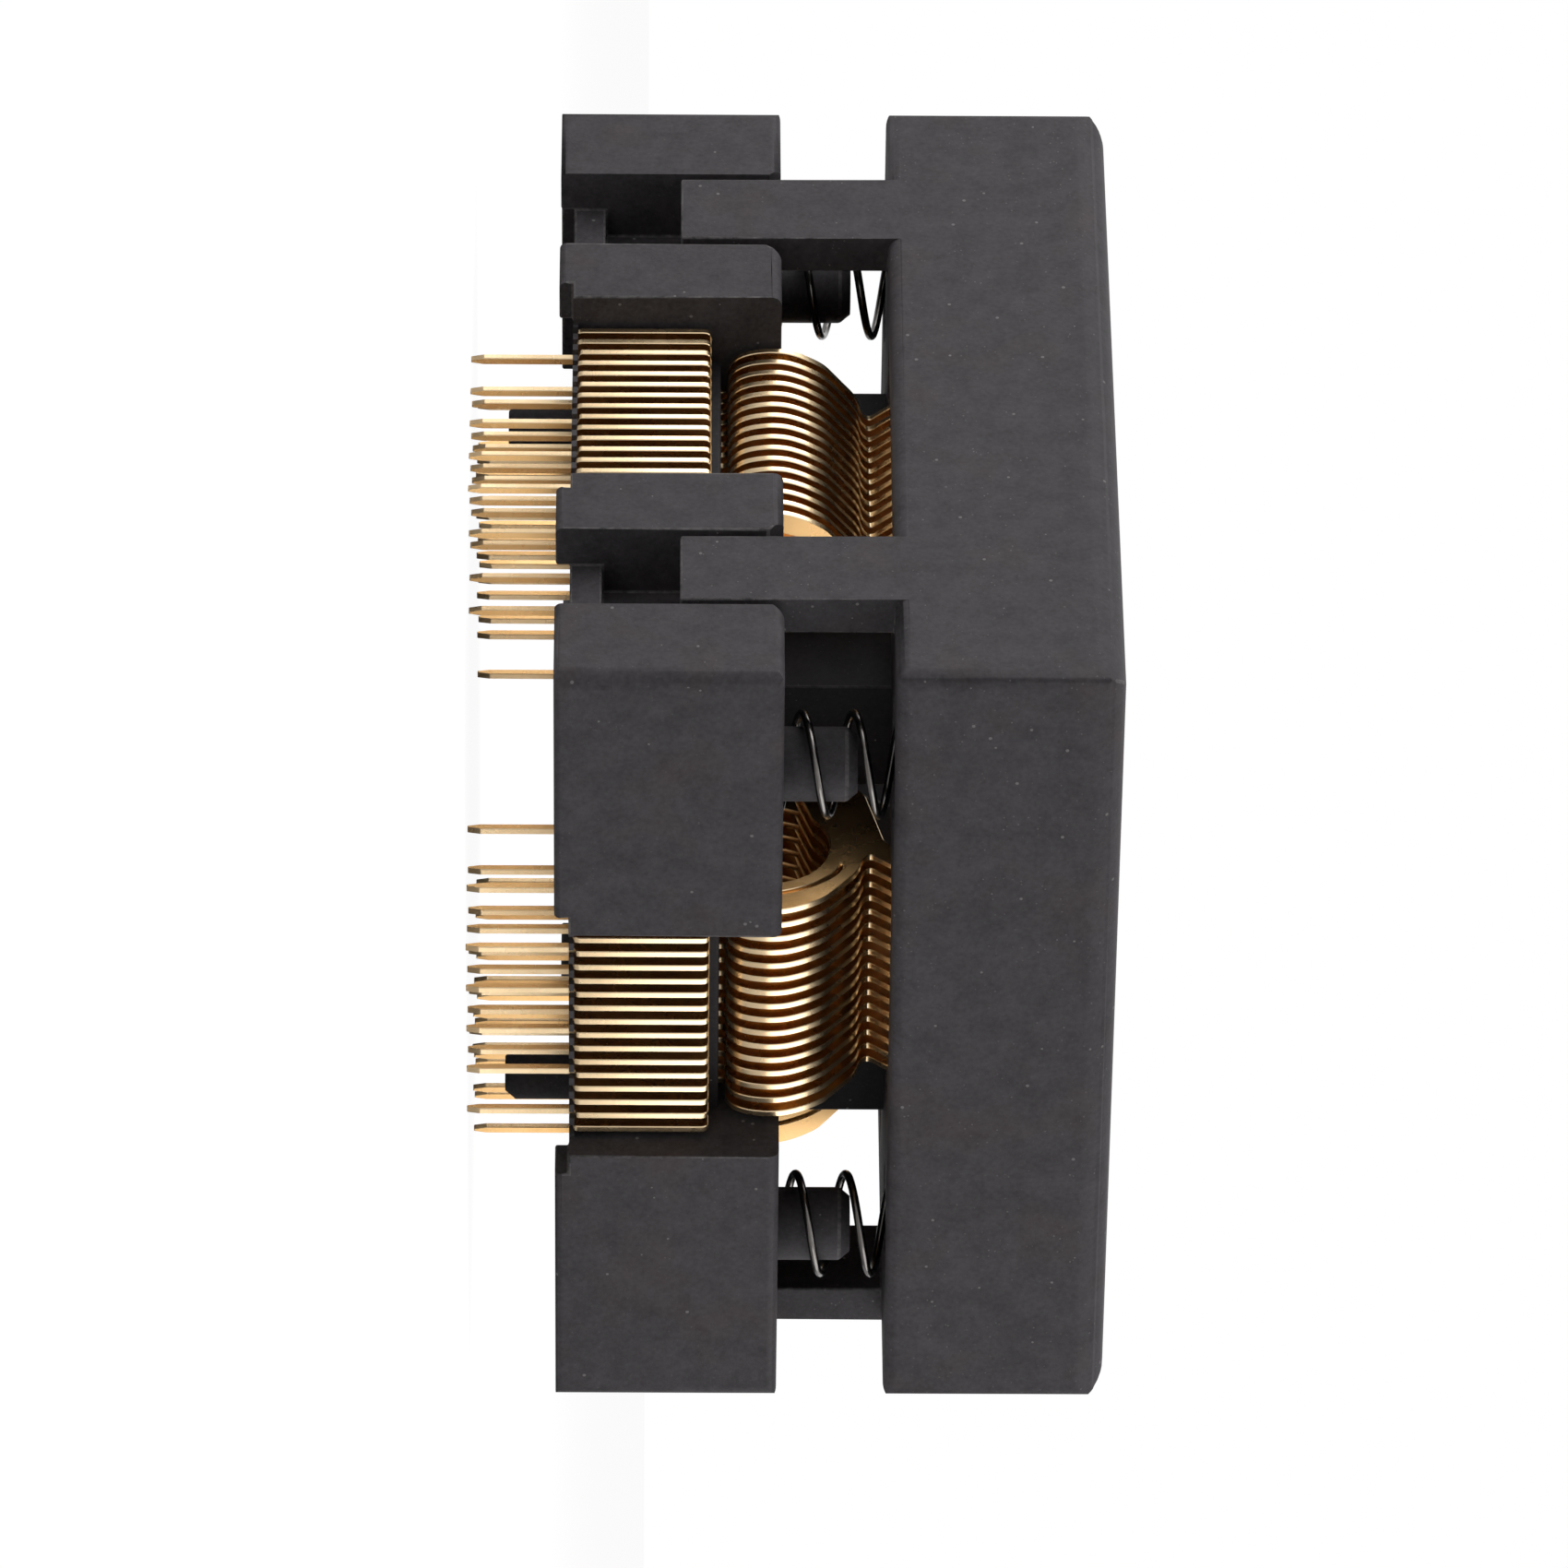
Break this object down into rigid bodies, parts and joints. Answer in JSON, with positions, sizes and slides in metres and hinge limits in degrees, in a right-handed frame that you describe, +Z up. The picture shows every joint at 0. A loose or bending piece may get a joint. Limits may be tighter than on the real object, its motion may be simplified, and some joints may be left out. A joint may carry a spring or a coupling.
{
  "type": "ic socket",
  "caption": "Open-top quad flat package test socket: moulded base with staggered pins, sprung contacts, chip seat and a sprung cover that opens the contacts when pressed.",
  "frame": {"origin": "centre of the outline, level with the pin tips, 2.5 mm below the board surface", "axes": "+Z up out of the board towards the cover, +X and +Y along the sides; the cover's legs run in the faces that look along X; the locating pegs stand at front right and back left"},
  "size_m": [0.0268, 0.0264, 0.0183],
  "materials": {
    "base_plastic": "glass-filled black moulding, fine matt grain",
    "seat_plastic": "glass-filled black moulding, fine matt grain",
    "cover_plastic": "glass-filled black moulding, fine matt grain",
    "spring_steel": "dark polished spring wire",
    "contact_gold": "gold plated sheet"
  },
  "bodies": {
    "base": {"base": "base_plastic", "ic_seat": "seat_plastic", "spring_front_left": "spring_steel", "spring_front_right": "spring_steel", "spring_back_left": "spring_steel", "spring_back_right": "spring_steel", "contacts_front_row_a": "contact_gold", "contacts_front_row_b": "contact_gold", "contacts_front_row_c": "contact_gold", "contacts_front_row_d": "contact_gold", "contacts_left_row_a": "contact_gold", "contacts_left_row_b": "contact_gold", "contacts_left_row_c": "contact_gold", "contacts_left_row_d": "contact_gold", "contacts_back_row_a": "contact_gold", "contacts_back_row_b": "contact_gold", "contacts_back_row_c": "contact_gold", "contacts_back_row_d": "contact_gold", "contacts_right_row_a": "contact_gold", "contacts_right_row_b": "contact_gold", "contacts_right_row_c": "contact_gold", "contacts_right_row_d": "contact_gold"},
    "cover": {"cover": "cover_plastic"}
  },
  "joints": [
    {"name": "cover_press", "type": "slide", "parent": "base", "child": "cover", "axis": [0, 0, -1], "range_m": [0, 0.002], "stiffness_N_per_m": 800, "springref_m": -0.002, "deforming": ["spring_front_left", "spring_front_right", "spring_back_left", "spring_back_right", "contacts_front_row_a", "contacts_front_row_b", "contacts_front_row_c", "contacts_front_row_d", "contacts_left_row_a", "contacts_left_row_b", "contacts_left_row_c", "contacts_left_row_d", "contacts_back_row_a", "contacts_back_row_b", "contacts_back_row_c", "contacts_back_row_d", "contacts_right_row_a", "contacts_right_row_b", "contacts_right_row_c", "contacts_right_row_d"]}
  ]
}
